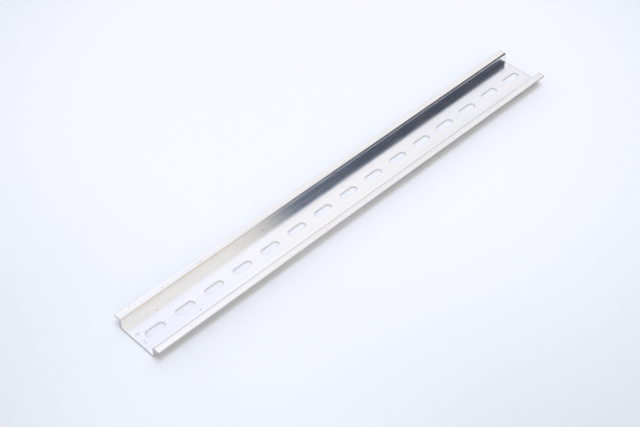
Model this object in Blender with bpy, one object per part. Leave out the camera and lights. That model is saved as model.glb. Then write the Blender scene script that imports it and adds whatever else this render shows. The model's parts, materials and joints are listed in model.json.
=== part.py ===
"""A slotted top-hat mounting rail: one aluminium strip, 35 mm wide and 7.5 mm high.

The rail lies along X with its open side up. The origin is at the middle of its length and
width, on the underside of the web, so the rail stands on the XY plane.
"""

import math

import bmesh
import bpy
from mathutils import Vector

# Driving dimensions, in metres
LENGTH = 0.3015
RAIL_WIDTH = 0.035  # across both flanges
CHANNEL_WIDTH = 0.025  # between the inner faces of the side walls
HEIGHT = 0.0075
THICKNESS = 0.001

BEND_INNER_RADIUS = 0.0005  # on the concave side of each bend
BEND_OUTER_RADIUS = BEND_INNER_RADIUS + THICKNESS  # on the convex side, so the wall keeps its thickness
RIM_RADIUS = 0.0003  # along the flanges' outer edges

SLOT_COUNT = 15
SLOT_PITCH = 0.020
SLOT_LENGTH = 0.0122
SLOT_WIDTH = 0.0045
SLOT_ROW_SHIFT = 0.001  # from the middle of the rail towards +X

# Worked out from them
INNER_WALL_Y = CHANNEL_WIDTH / 2
OUTER_WALL_Y = INNER_WALL_Y + THICKNESS
FLANGE_EDGE_Y = RAIL_WIDTH / 2
FLANGE_UNDERSIDE_Z = HEIGHT - THICKNESS

BEND_STEPS = 8  # flats in each rounded corner of the section
SLOT_END_STEPS = 20  # flats in each half-round slot end
CUTTER_OVERRUN = 0.001  # how far the slot cutter runs past each face of the web
SMOOTH_UP_TO = math.radians(30)


def clear_scene():
    for obj in list(bpy.data.objects):
        bpy.data.objects.remove(obj, do_unlink=True)


def aluminium():
    """Mill-finish aluminium: a pale, slightly cool metal with a soft sheen."""
    material = bpy.data.materials.new("aluminium")
    material.use_nodes = True
    surface = material.node_tree.nodes["Principled BSDF"]
    surface.inputs["Base Color"].default_value = (0.83, 0.83, 0.85, 1.0)
    surface.inputs["Metallic"].default_value = 1.0
    surface.inputs["Roughness"].default_value = 0.28
    return material


def rounded(corners):
    """The outline through right-angled corners (y, z, radius), with an arc at each corner."""
    points = []
    befores = corners[-1:] + corners[:-1]
    afters = corners[1:] + corners[:1]
    for before, corner, after in zip(befores, corners, afters):
        at = Vector(corner[:2])
        radius = corner[2]
        to_before = (Vector(before[:2]) - at).normalized()
        to_after = (Vector(after[:2]) - at).normalized()
        centre = at + (to_before + to_after) * radius
        for step in range(BEND_STEPS + 1):
            turn = math.pi / 2 * step / BEND_STEPS
            spoke = to_after * math.cos(turn) + to_before * math.sin(turn)
            points.append(centre - spoke * radius)
    return points


def hat_section():
    """The rail's cross-section as (y, z) points, counter-clockwise seen from +X."""
    half = [
        (OUTER_WALL_Y, 0.0, BEND_OUTER_RADIUS),
        (OUTER_WALL_Y, FLANGE_UNDERSIDE_Z, BEND_INNER_RADIUS),
        (FLANGE_EDGE_Y, FLANGE_UNDERSIDE_Z, RIM_RADIUS),
        (FLANGE_EDGE_Y, HEIGHT, RIM_RADIUS),
        (INNER_WALL_Y, HEIGHT, BEND_OUTER_RADIUS),
        (INNER_WALL_Y, THICKNESS, BEND_INNER_RADIUS),
    ]
    other_half = [(-y, z, radius) for y, z, radius in reversed(half)]
    return rounded(half + other_half)


def obround():
    """The outline of one slot, centred on the origin, as (x, y) points."""
    radius = SLOT_WIDTH / 2
    reach = SLOT_LENGTH / 2 - radius
    points = []
    for side in (1, -1):
        for step in range(SLOT_END_STEPS + 1):
            turn = math.pi * (step / SLOT_END_STEPS - 0.5)
            points.append((side * (reach + radius * math.cos(turn)), side * radius * math.sin(turn)))
    return points


def prism(name, outline, travel):
    """A closed mesh made by pushing a flat outline of 3-D points along travel."""
    bm = bmesh.new()
    face = bm.faces.new([bm.verts.new(point) for point in outline])
    pushed = bmesh.ops.extrude_face_region(bm, geom=[face])["geom"]
    moved = [item for item in pushed if isinstance(item, bmesh.types.BMVert)]
    bmesh.ops.translate(bm, verts=moved, vec=travel)
    bmesh.ops.recalc_face_normals(bm, faces=bm.faces)
    mesh = bpy.data.meshes.new(name)
    bm.to_mesh(mesh)
    bm.free()
    mesh.shade_smooth()
    mesh.set_sharp_from_angle(angle=SMOOTH_UP_TO)
    obj = bpy.data.objects.new(name, mesh)
    bpy.context.scene.collection.objects.link(obj)
    return obj


def slot_cutter():
    """One obround bar through the web, repeated along X at the slot pitch."""
    cutter = prism(
        "slot_cutter",
        [(x, y, -CUTTER_OVERRUN) for x, y in obround()],
        (0.0, 0.0, THICKNESS + 2 * CUTTER_OVERRUN),
    )
    cutter.location.x = SLOT_ROW_SHIFT - SLOT_PITCH * (SLOT_COUNT - 1) / 2
    row = cutter.modifiers.new("slot_row", "ARRAY")
    row.count = SLOT_COUNT
    row.use_relative_offset = False
    row.use_constant_offset = True
    row.constant_offset_displace = (SLOT_PITCH, 0.0, 0.0)
    cutter.hide_render = True
    cutter.display_type = "WIRE"
    return cutter


def mounting_rail():
    """The hat section pushed along the rail's length, with the slots cut through its web."""
    rail = prism(
        "mounting_rail",
        [(-LENGTH / 2, y, z) for y, z in hat_section()],
        (LENGTH, 0.0, 0.0),
    )
    rail.data.materials.append(aluminium())
    slots = rail.modifiers.new("slots", "BOOLEAN")
    slots.operation = "DIFFERENCE"
    slots.solver = "EXACT"
    slots.object = slot_cutter()
    return rail


clear_scene()
mounting_rail()
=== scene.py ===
"""Looks for the slotted top-hat mounting rail: mill-finish aluminium on a pale studio floor.

Lengths are in metres unless a comment says otherwise. The rail lies along X, with its near end
at -X and its open side up.
"""

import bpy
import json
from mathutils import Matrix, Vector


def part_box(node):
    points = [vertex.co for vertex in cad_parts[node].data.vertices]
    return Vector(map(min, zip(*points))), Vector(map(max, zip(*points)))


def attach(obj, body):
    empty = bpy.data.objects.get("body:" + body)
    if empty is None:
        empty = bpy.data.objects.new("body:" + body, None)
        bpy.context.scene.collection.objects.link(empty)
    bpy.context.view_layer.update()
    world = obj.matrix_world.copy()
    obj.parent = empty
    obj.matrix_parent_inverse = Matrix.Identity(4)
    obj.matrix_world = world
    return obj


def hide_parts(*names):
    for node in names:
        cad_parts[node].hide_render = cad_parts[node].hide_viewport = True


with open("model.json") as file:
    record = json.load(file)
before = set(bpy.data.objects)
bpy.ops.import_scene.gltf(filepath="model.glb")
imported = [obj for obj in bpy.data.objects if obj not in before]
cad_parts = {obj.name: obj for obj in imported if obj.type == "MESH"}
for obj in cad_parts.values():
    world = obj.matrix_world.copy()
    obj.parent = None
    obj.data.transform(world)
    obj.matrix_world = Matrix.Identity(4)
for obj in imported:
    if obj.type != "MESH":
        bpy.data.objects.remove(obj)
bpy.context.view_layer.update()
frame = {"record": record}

import json
import math

import bmesh
import bpy
from mathutils import Matrix, Vector

MM = 0.001

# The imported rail, and the sizes read from it
NODE = "mounting_rail"
RECORD = frame["record"]
LOW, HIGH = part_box(NODE)
MOUNTS = {mount["name"]: mount for mount in RECORD["mounts"]}
THICKNESS = MOUNTS["channel_floor"]["pos_m"][2]
FLANGE_UNDERSIDE_Z = MOUNTS["right_flange_underside"]["pos_m"][2]
OPENINGS = RECORD["physics"]["openings"]
SLOT_BOXES = [hole["box_m"] for hole in OPENINGS if hole["name"].startswith("slot_")]
SLOT_CENTRES = [(low[0] + high[0]) / 2 for low, high in SLOT_BOXES]

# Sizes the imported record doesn't hold, the same as in the solid
CHANNEL_WIDTH = 0.025
BEND_INNER_RADIUS = 0.0005
BEND_OUTER_RADIUS = BEND_INNER_RADIUS + THICKNESS
RIM_RADIUS = 0.0003
SLOT_LENGTH = 0.0122
SLOT_RADIUS = 0.0045 / 2  # half the slot's width
SLOT_REACH = SLOT_LENGTH / 2 - SLOT_RADIUS  # from the slot's middle to where its round end starts

# Fineness of the visible mesh
BEND_STEPS = 12
RIM_STEPS = 4
SLOT_END_STEPS = 28
CUTTER_OVERRUN = 0.001
EDGE_BREAK = 0.0001  # the burr knocked off the cut ends and the slots' mouths
EDGE_BREAK_STEPS = 3
EDGE_BREAK_ANGLE = math.radians(50)  # edges that turn more than this are broken


# ---------------------------------------------------------------- shape of the rail

def rounded(corners):
    """The outline through right-angled corners (y, z, radius, steps), with an arc at each corner."""
    points = []
    befores = corners[-1:] + corners[:-1]
    afters = corners[1:] + corners[:1]
    for before, corner, after in zip(befores, corners, afters):
        at = Vector(corner[:2])
        radius, steps = corner[2:]
        to_before = (Vector(before[:2]) - at).normalized()
        to_after = (Vector(after[:2]) - at).normalized()
        centre = at + (to_before + to_after) * radius
        for step in range(steps + 1):
            turn = math.pi / 2 * step / steps
            spoke = to_after * math.cos(turn) + to_before * math.sin(turn)
            points.append(centre - spoke * radius)
    return points


def hat_section():
    """The cross-section as (y, z) points, counter-clockwise seen from +X."""
    inner_wall = CHANNEL_WIDTH / 2
    outer_wall = inner_wall + THICKNESS
    half = [
        (outer_wall, LOW.z, BEND_OUTER_RADIUS, BEND_STEPS),
        (outer_wall, FLANGE_UNDERSIDE_Z, BEND_INNER_RADIUS, BEND_STEPS),
        (HIGH.y, FLANGE_UNDERSIDE_Z, RIM_RADIUS, RIM_STEPS),
        (HIGH.y, HIGH.z, RIM_RADIUS, RIM_STEPS),
        (inner_wall, HIGH.z, BEND_OUTER_RADIUS, BEND_STEPS),
        (inner_wall, THICKNESS, BEND_INNER_RADIUS, BEND_STEPS),
    ]
    other_half = [(-y, z, radius, steps) for y, z, radius, steps in reversed(half)]
    return rounded(half + other_half)


def obround():
    """The outline of one slot, centred on the origin, as (x, y) points."""
    points = []
    for side in (1, -1):
        for step in range(SLOT_END_STEPS + 1):
            turn = math.pi * (step / SLOT_END_STEPS - 0.5)
            x = side * (SLOT_REACH + SLOT_RADIUS * math.cos(turn))
            y = side * SLOT_RADIUS * math.sin(turn)
            points.append((x, y))
    return points


def add_prism(bm, outline, travel):
    """Pushes a flat outline of 3-D points along travel, as a closed prism."""
    face = bm.faces.new([bm.verts.new(point) for point in outline])
    pushed = bmesh.ops.extrude_face_region(bm, geom=[face])["geom"]
    moved = [item for item in pushed if isinstance(item, bmesh.types.BMVert)]
    bmesh.ops.translate(bm, verts=moved, vec=travel)


def new_object(name, bm):
    """Turns a bmesh into an object in the scene, its faces pointing outwards."""
    bmesh.ops.recalc_face_normals(bm, faces=bm.faces)
    mesh = bpy.data.meshes.new(name)
    bm.to_mesh(mesh)
    bm.free()
    obj = bpy.data.objects.new(name, mesh)
    bpy.context.scene.collection.objects.link(obj)
    return obj


def slot_cutter():
    """An obround bar through the web at every slot."""
    bm = bmesh.new()
    for centre in SLOT_CENTRES:
        outline = [(centre + x, y, -CUTTER_OVERRUN) for x, y in obround()]
        add_prism(bm, outline, (0, 0, THICKNESS + 2 * CUTTER_OVERRUN))
    return new_object("slot_cutter", bm)


def rail_body():
    """The hat section pushed along the rail's whole length."""
    bm = bmesh.new()
    add_prism(bm, [(LOW.x, y, z) for y, z in hat_section()], (HIGH.x - LOW.x, 0, 0))
    return new_object("aluminium_rail", bm)


def freeze(obj):
    """Replaces the object's mesh by its evaluated one and drops the modifiers."""
    graph = bpy.context.evaluated_depsgraph_get()
    mesh = bpy.data.meshes.new_from_object(obj.evaluated_get(graph), depsgraph=graph)
    obj.modifiers.clear()
    obj.data = mesh


def build_rail():
    """The rail with its slots cut, then its cut edges broken."""
    rail = rail_body()
    cutter = slot_cutter()
    cut = rail.modifiers.new("slots", "BOOLEAN")
    cut.operation = "DIFFERENCE"
    cut.solver = "EXACT"
    cut.object = cutter
    freeze(rail)
    bpy.data.objects.remove(cutter)
    rail.data.shade_smooth()
    edge = rail.modifiers.new("edge_break", "BEVEL")
    edge.width = EDGE_BREAK
    edge.segments = EDGE_BREAK_STEPS
    edge.limit_method = "ANGLE"
    edge.angle_limit = EDGE_BREAK_ANGLE
    flat = rail.modifiers.new("flat_faces_stay_flat", "WEIGHTED_NORMAL")
    flat.mode = "FACE_AREA"
    freeze(rail)
    return rail


# ---------------------------------------------------------------- node helpers

class Nodes:
    """Adds shader nodes to one tree; an input is set by a value or linked from a socket."""

    def __init__(self, tree):
        self.tree = tree

    def fill(self, socket, value):
        if isinstance(value, bpy.types.NodeSocket):
            self.tree.links.new(value, socket)
        else:
            socket.default_value = value

    def add(self, kind, inputs=None, **settings):
        node = self.tree.nodes.new(kind)
        for name, value in settings.items():
            setattr(node, name, value)
        for key, value in (inputs or {}).items():
            self.fill(node.inputs[key], value)
        return node

    def math(self, operation, first, second=0.0):
        return self.add("ShaderNodeMath", {0: first, 1: second}, operation=operation).outputs[0]

    def plus(self, first, second):
        return self.math("ADD", first, second)

    def minus(self, first, second):
        return self.math("SUBTRACT", first, second)

    def times(self, first, second):
        return self.math("MULTIPLY", first, second)

    def absolute(self, value):
        return self.math("ABSOLUTE", value)

    def rise(self, value, start, end, low=0.0, high=1.0):
        """low before start, high after end, and a smooth change between."""
        node = self.add("ShaderNodeMapRange", {"Value": value}, interpolation_type="SMOOTHSTEP")
        node.inputs["From Min"].default_value = start
        node.inputs["From Max"].default_value = end
        node.inputs["To Min"].default_value = low
        node.inputs["To Max"].default_value = high
        return node.outputs["Result"]

    def fall(self, value, start, end, high=1.0):
        """high before start, 0 after end, and a smooth change between."""
        return self.rise(value, start, end, high, 0.0)

    def mix(self, share, first, second):
        """A colour between first and second."""
        colour_inputs = {0: share, 6: first, 7: second}
        return self.add("ShaderNodeMix", colour_inputs, data_type="RGBA").outputs[2]

    def place(self, kind):
        """The point being shaded, or the direction looked in, as the kind of coordinate asked for."""
        return self.add("ShaderNodeTexCoord").outputs[kind]

    def parts(self, vector):
        return self.add("ShaderNodeSeparateXYZ", {0: vector}).outputs

    def vector_math(self, operation, first, second):
        return self.add("ShaderNodeVectorMath", {0: first, 1: second}, operation=operation).outputs

    def scaled(self, vector, scale):
        return self.vector_math("MULTIPLY", vector, scale)[0]

    def distance(self, first, second):
        return self.vector_math("DISTANCE", first, second)["Value"]

    def length(self, x, y):
        """How long the flat vector (x, y) is."""
        vector = self.add("ShaderNodeCombineXYZ", {0: x, 1: y}).outputs[0]
        return self.add("ShaderNodeVectorMath", {0: vector}, operation="LENGTH").outputs["Value"]

    def noise(self, place, scale, detail, roughness):
        """Noise with its own scale along each axis, in cycles per metre."""
        inputs = {
            "Vector": self.scaled(place, scale),
            "Scale": 1.0,
            "Detail": detail,
            "Roughness": roughness,
        }
        return self.add("ShaderNodeTexNoise", inputs).outputs["Fac"]

    def bump(self, height, depth, **more):
        """A normal from a height of 0 to 1 that stands for up to depth metres."""
        inputs = {"Height": height, "Distance": depth, "Strength": 1.0, **more}
        return self.add("ShaderNodeBump", inputs).outputs[0]


def fresh_material(name):
    material = bpy.data.materials.new(name)
    material.use_nodes = True
    nodes = Nodes(material.node_tree)
    shader = material.node_tree.nodes["Principled BSDF"]
    return material, nodes, shader


# ---------------------------------------------------------------- drawn aluminium

# Noise drawn out along the rail, as cycles per metre along it and across it
FINE_LINES = (9, 2600)
NARROW_LINES = (2.5, 900)
BROAD_LINES = (3, 480)
BAND_LINES = (1.5, 260)
FINE_DEPTH = 2.5e-6
BROAD_DEPTH = 7e-6
CLOUD_SCALE = (45, 120, 120)
GRIT_SCALE = (2600, 2600, 2600)

# From here, a pair of numbers is where a smooth change starts and ends, or the values it joins

# Streaks: cooler and warmer greys, and darker hairlines
BAND_SHARE = 0.35
NARROW_SHARE = 0.65
STREAK_CONTRAST = (0.43, 0.57)
HAIRLINE_CONTRAST = (0.62, 0.75)
HAIRLINE_STRENGTH = 0.35
COOL_STREAK = (0.83, 0.86, 0.925, 1)
WARM_STREAK = (0.955, 0.95, 0.95, 1)
HAIRLINE_COLOUR = (0.8, 0.8, 0.82, 1)

# Painted reflection tints that even the streaks out, and painted shade on the far web
NEAR_REACH = (-0.15, -0.06)  # in x, from the near end to the body of the rail
WEB_EDGE = (0.0112, 0.0126)  # in |y|
WEB_MIDDLE_EDGE = (0.0080, 0.0100)  # in |y|
NEAR_WEB_SIDE_REFLECTION_TINT = (0.97, 0.96, 0.95, 1)
NEAR_WEB_MIDDLE_REFLECTION_TINT = (0.86, 0.885, 0.955, 1)
WEB_REFLECTION_TINT = (0.96, 0.963, 0.985, 1)
NEAR_FLANGE_REFLECTION_TINT = (0.99, 0.97, 0.955, 1)
FLANGE_REFLECTION_TINT = (0.93, 0.92, 0.91, 1)
REFLECTION_TINT_STRENGTHS = (0.4, 0.65)  # at the near end, and along the body
FAR_REACH = (0.0, 0.1)  # in x
FAR_WEB_SHADE = (0.93, 0.94, 0.965)

# Painted highlight: a bright strip at each wall's foot
FOOT_EDGE = (0.0085, 0.0100)  # in |y|
FOOT_TOP = (0.0015, 0.0035)  # in z
FOOT_REACH = (-0.10, -0.04)  # in x
FOOT_HIGHLIGHT_STRENGTH = 0.7
FOOT_COLOUR = (0.94, 0.97, 1.0, 1)

# Painted reflection: a darker line along each upper bend, towards the near end
LIP_SHIFT = 0.00035  # how far both lips lie towards -Y
LIP_INSIDE = (0.01285, 0.01315)  # in |y|, from the lips' own middle
LIP_OUTSIDE = (0.01335, 0.01395)
LIP_REACH = (-0.11, -0.03)  # in x
LIP_REFLECTION_STRENGTH = 0.6
LIP_REFLECTION_COLOUR = (0.71, 0.69, 0.67, 1)

# Painted shade in the inside corner between web and wall, towards the far end
CREASE_EDGE = (0.0116, 0.0121)  # in |y|
CREASE_TOP = (0.0014, 0.0021)  # in z
CREASE_REACH = (-0.05, 0.05)  # in x
CREASE_SHADE_STRENGTH = 0.8
CREASE_SHADE_COLOUR = (0.40, 0.405, 0.42, 1)

# Painted shade: a dark line round the mouth of each slot
MOUTH_EDGE = (0.00006, 0.00016)  # from the slot's outline
MOUTH_SHADE_STRENGTHS = (0.2, 0.3)  # at the near end, and along the body
MOUTH_SHADE_COLOUR = (0.5, 0.46, 0.42, 1)

# A drawing line on the web, plainer towards the far end
DIE_LINE_Y = -0.0071
DIE_LINE_EDGE = (0.0001, 0.0003)  # from its middle
DIE_LINE_REACH = (-0.07, 0.0)  # in x
DIE_LINE_STRENGTH = 0.14
DIE_LINE_COLOUR = (0.6, 0.59, 0.59, 1)

# The darker last strip before the far cut, and the flanges' darker, rougher outer rims
FAR_CUT_EDGE = (HIGH.x - 0.0006, HIGH.x - 0.0003)  # in x
FAR_CUT_STRENGTH = 0.8
FAR_CUT_COLOUR = (0.55, 0.54, 0.53, 1)
RIM_EDGE = (HIGH.y - 0.0002, HIGH.y)  # in |y|
RIM_COLOUR = (0.72, 0.71, 0.71, 1)

# Handling marks: mm from the near end, mm across, half length, half width, degrees from +X, strength
SCUFFS = [
    (2.7, 3.6, 1.2, 0.2, 75, 0.95),
    (3.7, 2.9, 1.4, 0.2, 62, 0.8),
    (3.4, 4.5, 1.5, 0.2, -8, 0.8),
    (3.2, 3.7, 1.8, 1.1, 20, 0.4),
    (2.8, -2.9, 1.9, 0.25, 80, 1.0),
    (10.5, 8.8, 0.7, 0.3, 20, 0.7),
    (20.7, 9.4, 0.8, 0.5, 10, 0.8),
    (36.8, -6.4, 0.6, 0.45, 5, 0.9),
    (39.9, -4.8, 0.5, 0.4, 50, 0.5),
    (26.2, -15.7, 0.8, 0.35, 60, 0.9),
    (23.0, -15.3, 1.8, 0.6, 5, 0.3),
    (8.5, 16.2, 1.0, 0.5, 30, 0.4),
    (29.0, 14.6, 1.2, 0.3, 0, 0.5),
    (55.0, 14.3, 2.2, 0.3, 0, 0.5),
    (98.0, 11.9, 0.5, 0.8, 0, 0.9),
]
SCUFF_EDGE = (0.5, 1.2)  # as a share of the mark's half size
SCUFF_UPWARD = (0.3, 0.6)  # in the normal's z
SCUFF_STRENGTH = 0.9
SCUFF_COLOUR = (0.36, 0.34, 0.33, 1)
GRIT_CONTRAST = (0.35, 0.6)

# Roughness
CLOUD_CONTRAST = (0.3, 0.7)
CLOUD_ROUGHNESS = (0.145, 0.185)
FINE_ROUGHNESS = 0.03
WORN_ROUGHNESS = 0.12
WEB_SMOOTHNESS = 0.04


def lengthwise(nodes, place, lines):
    """Noise drawn out along the rail."""
    along, across = lines
    return nodes.noise(place, (along, across, across), detail=3.0, roughness=0.6)


def streaks(nodes, place, fine):
    """The metal's own colour, streaked along the rail."""
    band = lengthwise(nodes, place, BAND_LINES)
    narrow = lengthwise(nodes, place, NARROW_LINES)
    streak = nodes.plus(nodes.times(band, BAND_SHARE), nodes.times(narrow, NARROW_SHARE))
    colour = nodes.mix(nodes.rise(streak, *STREAK_CONTRAST), COOL_STREAK, WARM_STREAK)
    hairline = nodes.rise(fine, *HAIRLINE_CONTRAST, high=HAIRLINE_STRENGTH)
    return nodes.mix(hairline, colour, HAIRLINE_COLOUR)


def with_painted_reflection_tints(nodes, colour, x, y, web):
    """Painted reflection tints that even the streaks out; the near end is painted bluest mid-web and
    warmest on the flanges.
    """
    inward = nodes.rise(x, *NEAR_REACH)
    middle = nodes.fall(nodes.absolute(y), *WEB_MIDDLE_EDGE)
    near_web_reflection_tint = nodes.mix(middle, NEAR_WEB_SIDE_REFLECTION_TINT, NEAR_WEB_MIDDLE_REFLECTION_TINT)
    web_reflection_tint = nodes.mix(inward, near_web_reflection_tint, WEB_REFLECTION_TINT)
    flange_reflection_tint = nodes.mix(inward, NEAR_FLANGE_REFLECTION_TINT, FLANGE_REFLECTION_TINT)
    strength = nodes.rise(x, *NEAR_REACH, *REFLECTION_TINT_STRENGTHS)
    return nodes.mix(strength, colour, nodes.mix(web, flange_reflection_tint, web_reflection_tint))


# Painted highlight: lightens a strip of the web at each wall's foot towards the near end.
def with_painted_foot_highlights(nodes, colour, x, y, z):
    foot = nodes.times(nodes.rise(nodes.absolute(y), *FOOT_EDGE), nodes.fall(z, *FOOT_TOP))
    foot = nodes.times(foot, nodes.fall(x, *FOOT_REACH, high=FOOT_HIGHLIGHT_STRENGTH))
    return nodes.mix(foot, colour, FOOT_COLOUR)


# Painted reflection: darkens a line along each upper bend near the near end.
def with_painted_lip_reflections(nodes, colour, x, y):
    from_middle = nodes.absolute(nodes.plus(y, LIP_SHIFT))
    lip_reflection = nodes.times(nodes.rise(from_middle, *LIP_INSIDE), nodes.fall(from_middle, *LIP_OUTSIDE))
    lip_reflection = nodes.times(lip_reflection, nodes.fall(x, *LIP_REACH, high=LIP_REFLECTION_STRENGTH))
    return nodes.mix(lip_reflection, colour, LIP_REFLECTION_COLOUR)


# Painted shade: darkens the inside corner between web and wall.
def with_painted_crease_shade(nodes, colour, x, y, z):
    crease_shade = nodes.times(nodes.rise(nodes.absolute(y), *CREASE_EDGE), nodes.fall(z, *CREASE_TOP))
    crease_shade = nodes.times(crease_shade, nodes.rise(x, *CREASE_REACH, high=CREASE_SHADE_STRENGTH))
    return nodes.mix(crease_shade, colour, CREASE_SHADE_COLOUR)


# Painted shade: the web is darker towards the far end.
def with_shaded_far_web(nodes, colour, x, web):
    far_web = nodes.times(web, nodes.rise(x, *FAR_REACH))
    return nodes.mix(far_web, colour, nodes.scaled(colour, FAR_WEB_SHADE))


def with_painted_slot_mouth_shade(nodes, colour, x, y):
    """Painted shade: darkens a thin band round the mouth of each slot."""
    pitch = SLOT_CENTRES[1] - SLOT_CENTRES[0]
    from_gap = nodes.minus(x, SLOT_CENTRES[0] - pitch / 2)
    in_pitch = nodes.math("FLOORED_MODULO", from_gap, pitch)
    from_centre = nodes.absolute(nodes.minus(in_pitch, pitch / 2))
    past_straight = nodes.math("MAXIMUM", nodes.minus(from_centre, SLOT_REACH), 0.0)
    from_outline = nodes.absolute(nodes.minus(nodes.length(past_straight, y), SLOT_RADIUS))
    mouth = nodes.fall(from_outline, *MOUTH_EDGE)
    mouth = nodes.times(mouth, nodes.rise(x, *NEAR_REACH, *MOUTH_SHADE_STRENGTHS))
    return nodes.mix(mouth, colour, MOUTH_SHADE_COLOUR)


def with_die_line(nodes, colour, x, y):
    line = nodes.fall(nodes.absolute(nodes.minus(y, DIE_LINE_Y)), *DIE_LINE_EDGE)
    line = nodes.times(line, nodes.rise(x, *DIE_LINE_REACH, high=DIE_LINE_STRENGTH))
    return nodes.mix(line, colour, DIE_LINE_COLOUR)


def with_far_cut(nodes, colour, x):
    far_cut = nodes.rise(x, *FAR_CUT_EDGE, high=FAR_CUT_STRENGTH)
    return nodes.mix(far_cut, colour, FAR_CUT_COLOUR)


def scuff(nodes, x, y, spot):
    """The mark's strength inside one small ellipse, 0 outside it."""
    from_near_end, across, half_length, half_width, degrees, strength = spot
    dx = nodes.minus(x, LOW.x + from_near_end * MM)
    dy = nodes.minus(y, across * MM)
    cos = math.cos(math.radians(degrees))
    sin = math.sin(math.radians(degrees))
    along = nodes.plus(nodes.times(dx, cos), nodes.times(dy, sin))
    aside = nodes.minus(nodes.times(dy, cos), nodes.times(dx, sin))
    along_share = nodes.math("DIVIDE", along, half_length * MM)
    aside_share = nodes.math("DIVIDE", aside, half_width * MM)
    return nodes.fall(nodes.length(along_share, aside_share), *SCUFF_EDGE, high=strength)


def scuffs(nodes, place, normal):
    """The handling marks, on upward faces only and broken up so that none has a clean outline."""
    x, y, _ = nodes.parts(place)
    marks = 0.0
    for spot in SCUFFS:
        marks = nodes.math("MAXIMUM", marks, scuff(nodes, x, y, spot))
    grit = nodes.noise(place, GRIT_SCALE, detail=2.0, roughness=0.6)
    marks = nodes.times(marks, nodes.rise(grit, *GRIT_CONTRAST))
    facing_up = nodes.rise(nodes.parts(normal)["Z"], *SCUFF_UPWARD)
    return nodes.times(marks, facing_up)


def drawn_roughness(nodes, place, fine, worn, rim, web):
    """A little cloudy, duller where it is rubbed and smoother on the web."""
    cloud = nodes.noise(place, CLOUD_SCALE, detail=3.0, roughness=0.55)
    rough = nodes.rise(cloud, *CLOUD_CONTRAST, *CLOUD_ROUGHNESS)
    rough = nodes.plus(rough, nodes.times(fine, FINE_ROUGHNESS))
    rough = nodes.plus(rough, nodes.times(nodes.plus(worn, rim), WORN_ROUGHNESS))
    return nodes.minus(rough, nodes.times(web, WEB_SMOOTHNESS))


def drawn_colour(nodes, place, fine, worn, rim, web):
    """The streaked metal with every mark, painted highlight, painted reflection and painted shade
    laid over it in turn.
    """
    x, y, z = nodes.parts(place)
    colour = with_painted_reflection_tints(nodes, streaks(nodes, place, fine), x, y, web)
    colour = with_painted_foot_highlights(nodes, colour, x, y, z)
    colour = with_painted_lip_reflections(nodes, colour, x, y)
    colour = with_painted_crease_shade(nodes, colour, x, y, z)
    colour = with_shaded_far_web(nodes, colour, x, web)
    colour = nodes.mix(nodes.times(worn, SCUFF_STRENGTH), colour, SCUFF_COLOUR)
    colour = with_painted_slot_mouth_shade(nodes, colour, x, y)
    colour = with_die_line(nodes, colour, x, y)
    colour = with_far_cut(nodes, colour, x)
    return nodes.mix(rim, colour, RIM_COLOUR)


def mill_aluminium():
    """Drawn aluminium: a soft mirror, blurred across the drawing lines much more than along them."""
    material, nodes, shader = fresh_material("mill_aluminium")
    place = nodes.place("Object")
    normal = nodes.add("ShaderNodeNewGeometry").outputs["Normal"]
    along_rail = (1, 0, 0)
    nodes.fill(shader.inputs["Tangent"], nodes.vector_math("CROSS_PRODUCT", along_rail, normal)[0])

    fine = lengthwise(nodes, place, FINE_LINES)
    broad = lengthwise(nodes, place, BROAD_LINES)
    fine_normal = nodes.bump(fine, FINE_DEPTH)
    nodes.fill(shader.inputs["Normal"], nodes.bump(broad, BROAD_DEPTH, Normal=fine_normal))

    from_middle = nodes.absolute(nodes.parts(place)["Y"])
    web = nodes.fall(from_middle, *WEB_EDGE)
    rim = nodes.rise(from_middle, *RIM_EDGE)
    worn = scuffs(nodes, place, normal)
    nodes.fill(shader.inputs["Base Color"], drawn_colour(nodes, place, fine, worn, rim, web))
    nodes.fill(shader.inputs["Roughness"], drawn_roughness(nodes, place, fine, worn, rim, web))
    nodes.fill(shader.inputs["Metallic"], 1.0)
    nodes.fill(shader.inputs["Anisotropic"], 1.0)
    return material


# ---------------------------------------------------------------- cut aluminium

CUT_LINES = (4000, 4000, 700)  # cycles per metre
CUT_DEPTH = 8e-6
PUNCHED_COLOURS = ((0.64, 0.625, 0.61, 1), (0.78, 0.77, 0.76, 1))
SAWN_COLOURS = ((0.34, 0.33, 0.31, 1), (0.56, 0.545, 0.52, 1))
SAWN_EDGE = (HIGH.x - 0.0004, HIGH.x - 0.0002)  # in |x|
END_X = HIGH.x - 0.0002  # faces further out than this belong to an end
END_FACING = 0.7  # the least |x| of a sawn face's normal
PUNCHED_TILT = 0.5  # the most |z| of a punched face's normal


def cut_aluminium():
    """The sawn ends and the punched walls of the slots: duller, rougher, lined across the cut."""
    material, nodes, shader = fresh_material("cut_aluminium")
    place = nodes.place("Object")
    lines = nodes.noise(place, CUT_LINES, detail=3.0, roughness=0.5)
    punched = nodes.mix(lines, *PUNCHED_COLOURS)
    sawn = nodes.mix(lines, *SAWN_COLOURS)
    at_end = nodes.rise(nodes.absolute(nodes.parts(place)["X"]), *SAWN_EDGE)
    nodes.fill(shader.inputs["Base Color"], nodes.mix(at_end, punched, sawn))
    nodes.fill(shader.inputs["Normal"], nodes.bump(lines, CUT_DEPTH))
    nodes.fill(shader.inputs["Metallic"], 0.9)
    nodes.fill(shader.inputs["Roughness"], 0.45)
    return material


def is_cut(face):
    """Whether a face belongs to a sawn end or to a slot's punched wall."""
    if abs(face.center.x) > END_X:
        return abs(face.normal.x) > END_FACING
    in_slot_row = abs(face.center.y) < SLOT_RADIUS + EDGE_BREAK / 2
    return in_slot_row and abs(face.normal.z) < PUNCHED_TILT


def dress_rail(rail):
    rail.data.materials.clear()
    rail.data.materials.append(mill_aluminium())
    rail.data.materials.append(cut_aluminium())
    for face in rail.data.polygons:
        face.material_index = 1 if is_cut(face) else 0


# ---------------------------------------------------------------- floor and softbox

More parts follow.
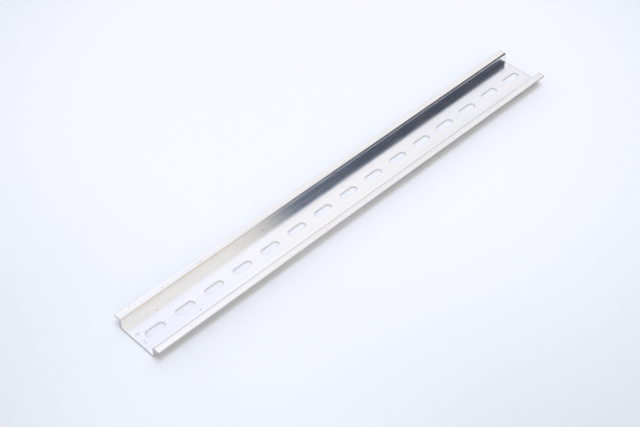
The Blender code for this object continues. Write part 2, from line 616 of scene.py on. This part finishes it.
FLOOR_SIZE = 6.0
FLOOR_BRIGHT = (0.892, 0.906, 0.94, 1)
FLOOR_PAINTED_DIM = (0.66, 0.70, 0.725, 1)
PAINTED_LIGHT_POOL_CENTRE = (0.06, 0.08, 0.0)  # the middle of a painted pool of light, where the floor is brightest
PAINTED_LIGHT_POOL_EDGE = (0.12, 0.36)
NEAR_PAINTED_LIGHT_POOL_CENTRE = (-0.15, -0.06, 0.0)  # a fainter painted pool of light beside the rail's near end
NEAR_PAINTED_LIGHT_POOL_EDGE = (0.02, 0.15)
NEAR_PAINTED_LIGHT_POOL_DIMMING = 0.45  # how much of the painted dimming is left in it

SOFTBOX_SIZE = 1.2
SOFTBOX_POWER = 25.0
SOFTBOX_COLOUR = (0.96, 1.04, 1.27)
SOFTBOX_PLACE = (-0.1, -0.32, 2.6)


def pale_floor():
    """A white sheet, painted a little darker away from two painted pools of light: behind the rail
    and by its near end.
    """
    bm = bmesh.new()
    bmesh.ops.create_grid(bm, x_segments=1, y_segments=1, size=FLOOR_SIZE / 2)
    floor = new_object("floor", bm)
    material, nodes, shader = fresh_material("pale_floor")
    place = nodes.place("Object")
    painted_dimming = nodes.rise(nodes.distance(place, PAINTED_LIGHT_POOL_CENTRE), *PAINTED_LIGHT_POOL_EDGE)
    from_near_light_pool = nodes.distance(place, NEAR_PAINTED_LIGHT_POOL_CENTRE)
    painted_dimming = nodes.times(painted_dimming, nodes.rise(from_near_light_pool, *NEAR_PAINTED_LIGHT_POOL_EDGE, low=NEAR_PAINTED_LIGHT_POOL_DIMMING))
    nodes.fill(shader.inputs["Base Color"], nodes.mix(painted_dimming, FLOOR_BRIGHT, FLOOR_PAINTED_DIM))
    nodes.fill(shader.inputs["Roughness"], 0.9)
    nodes.fill(shader.inputs["Specular IOR Level"], 0.1)
    floor.data.materials.append(material)


def softbox():
    """A large square light almost overhead, which the metal doesn't mirror."""
    light = bpy.data.lights.new("softbox", "AREA")
    light.shape = "SQUARE"
    light.size = SOFTBOX_SIZE
    light.energy = SOFTBOX_POWER
    light.color = SOFTBOX_COLOUR
    lamp = bpy.data.objects.new("softbox", light)
    lamp.location = SOFTBOX_PLACE
    lamp.visible_glossy = False
    bpy.context.scene.collection.objects.link(lamp)


# ---------------------------------------------------------------- tent of light round the rail

# Where a smooth change starts and ends, in the x, y or z of the unit direction looked in
RIGHT_SIDE = (-0.3, 0.15)  # in y
CAMERA_SIDE = (0.0, 0.3)  # in x; the camera sees the rail mirror only what is past this
LEFT_TURN = (0.40, 0.50)  # in x
LEFT_FOOT = (0.15, 0.55)  # in z
LEFT_FILL_TOP = (0.35, 0.65)  # in z
RIGHT_LOW = (0.3, 0.65)  # in z
RIGHT_FOOT = (0.05, 0.4)  # in z
OPENING_EDGE = (0.449, 0.475)  # in x
BEYOND_DEPTH = (0.46, 0.58)  # in x
BEYOND_FOOT = (0.1, 0.45)  # in z
ROOF_EDGE = (0.75, 0.97)  # in z

# Its light, as linear colours
LEFT_NEAR_COLOUR = (1.0, 1.0, 1.055, 1)
LEFT_FAR_COLOUR = (0.98, 0.965, 0.975, 1)
LEFT_FOOT_COLOUR = (0.64, 0.64, 0.66, 1)
LEFT_FILL_HIGH = (0.55, 0.55, 0.58, 1)
LEFT_FILL_LOW = (1.15, 1.15, 1.2, 1)
RIGHT_HIGH_COLOUR = (0.955, 0.92, 0.88, 1)
RIGHT_LOW_COLOUR = (0.98, 0.88, 0.74, 1)
RIGHT_FOOT_COLOUR = (0.66, 0.57, 0.48, 1)
RIGHT_FILL = (1.13, 1.07, 0.91, 1)
BEYOND_NEAR_COLOUR = (0.082, 0.125, 0.21, 1)
BEYOND_FAR_COLOUR = (0.05, 0.062, 0.096, 1)
BEYOND_FOOT_COLOUR = (0.24, 0.25, 0.28, 1)

# The panels and the roof of the camera's side
PANEL_COUNT = 5  # in a full turn
PANEL_EDGE = (-0.8, 0.8)  # in the sine that repeats them
PANEL_LIGHT = (0.68, 1.12)  # between the panels, and on them
ROOF_LIGHT = (1.0, 0.62)  # below the roof, and on it


def left_wall(nodes, x, z, camera_side):
    """Cool white and dimmer at its foot; on the camera's side, bright low down and dim above."""
    wall = nodes.mix(nodes.rise(x, *LEFT_TURN), LEFT_NEAR_COLOUR, LEFT_FAR_COLOUR)
    wall = nodes.mix(nodes.fall(z, *LEFT_FOOT), wall, LEFT_FOOT_COLOUR)
    fill = nodes.mix(nodes.fall(z, *LEFT_FILL_TOP), LEFT_FILL_HIGH, LEFT_FILL_LOW)
    return nodes.mix(camera_side, wall, fill)


def right_wall(nodes, z, camera_side):
    """Warm white, warmer low down and dim at its foot; on the camera's side, evenly bright."""
    wall = nodes.mix(nodes.fall(z, *RIGHT_LOW), RIGHT_HIGH_COLOUR, RIGHT_LOW_COLOUR)
    wall = nodes.mix(nodes.fall(z, *RIGHT_FOOT), wall, RIGHT_FOOT_COLOUR)
    return nodes.mix(camera_side, wall, RIGHT_FILL)


def beyond_opening(nodes, x, z):
    """The dark room: bluest beside the opening's edge, and less dark near the floor."""
    room = nodes.mix(nodes.rise(x, *BEYOND_DEPTH), BEYOND_NEAR_COLOUR, BEYOND_FAR_COLOUR)
    return nodes.mix(nodes.fall(z, *BEYOND_FOOT), room, BEYOND_FOOT_COLOUR)


def panel_light(nodes, x, y, z, camera_side):
    """A factor for the light: soft panels and a dim roof on the camera's side, and 1 elsewhere."""
    turns = nodes.times(nodes.math("ARCTAN2", y, x), PANEL_COUNT)
    panels = nodes.rise(nodes.math("SINE", turns), *PANEL_EDGE, *PANEL_LIGHT)
    panels = nodes.times(panels, nodes.rise(z, *ROOF_EDGE, *ROOF_LIGHT))
    return nodes.plus(nodes.times(camera_side, nodes.minus(panels, 1.0)), 1.0)


def studio_world():
    """A bright tent round the rail, with an opening to a dark room at the far right."""
    world = bpy.data.worlds.new("studio")
    bpy.context.scene.world = world
    world.use_nodes = True
    nodes = Nodes(world.node_tree)
    x, y, z = nodes.parts(nodes.place("Generated"))
    right_side = nodes.fall(y, *RIGHT_SIDE)
    camera_side = nodes.fall(x, *CAMERA_SIDE)
    opening = nodes.times(nodes.rise(x, *OPENING_EDGE), right_side)
    left = left_wall(nodes, x, z, camera_side)
    right = right_wall(nodes, z, camera_side)
    sky = nodes.mix(right_side, left, right)
    sky = nodes.mix(opening, sky, beyond_opening(nodes, x, z))
    sky = nodes.scaled(sky, panel_light(nodes, x, y, z, camera_side))
    background = world.node_tree.nodes["Background"]
    nodes.fill(background.inputs["Color"], sky)
    nodes.fill(background.inputs["Strength"], 1.0)


# ---------------------------------------------------------------- camera

CAMERA_TARGET = Vector((-0.0211, 0.0003, 0.0))
CAMERA_DISTANCE = 0.7643
CAMERA_AZIMUTH = math.radians(-44.42)  # 0 looks along +Y
CAMERA_ELEVATION = math.radians(45.5)
CAMERA_ROLL = math.radians(-0.31)
CAMERA_LENS = 78.16  # mm, on a 36 mm sensor
CAMERA_CLIP_START = 0.01


def place_camera():
    """Looks down at the rail from past its near end, on its right."""
    back = Vector((
        math.sin(CAMERA_AZIMUTH) * math.cos(CAMERA_ELEVATION),
        -math.cos(CAMERA_AZIMUTH) * math.cos(CAMERA_ELEVATION),
        math.sin(CAMERA_ELEVATION),
    ))
    right = (-back).cross(Vector((0, 0, 1))).normalized()
    up = right.cross(-back)
    level = Matrix((right, up, back)).transposed()
    turn = level @ Matrix.Rotation(CAMERA_ROLL, 3, "Z")
    camera = bpy.data.objects.new("camera", bpy.data.cameras.new("camera"))
    camera.data.lens = CAMERA_LENS
    camera.data.clip_start = CAMERA_CLIP_START
    camera.matrix_world = Matrix.Translation(CAMERA_TARGET + back * CAMERA_DISTANCE) @ turn.to_4x4()
    bpy.context.scene.collection.objects.link(camera)
    bpy.context.scene.camera = camera


# ---------------------------------------------------------------- the scene

rail = build_rail()
dress_rail(rail)
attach(rail, "root")
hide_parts(NODE)

pale_floor()
softbox()
studio_world()
place_camera()
bpy.context.scene.view_settings.view_transform = "Standard"
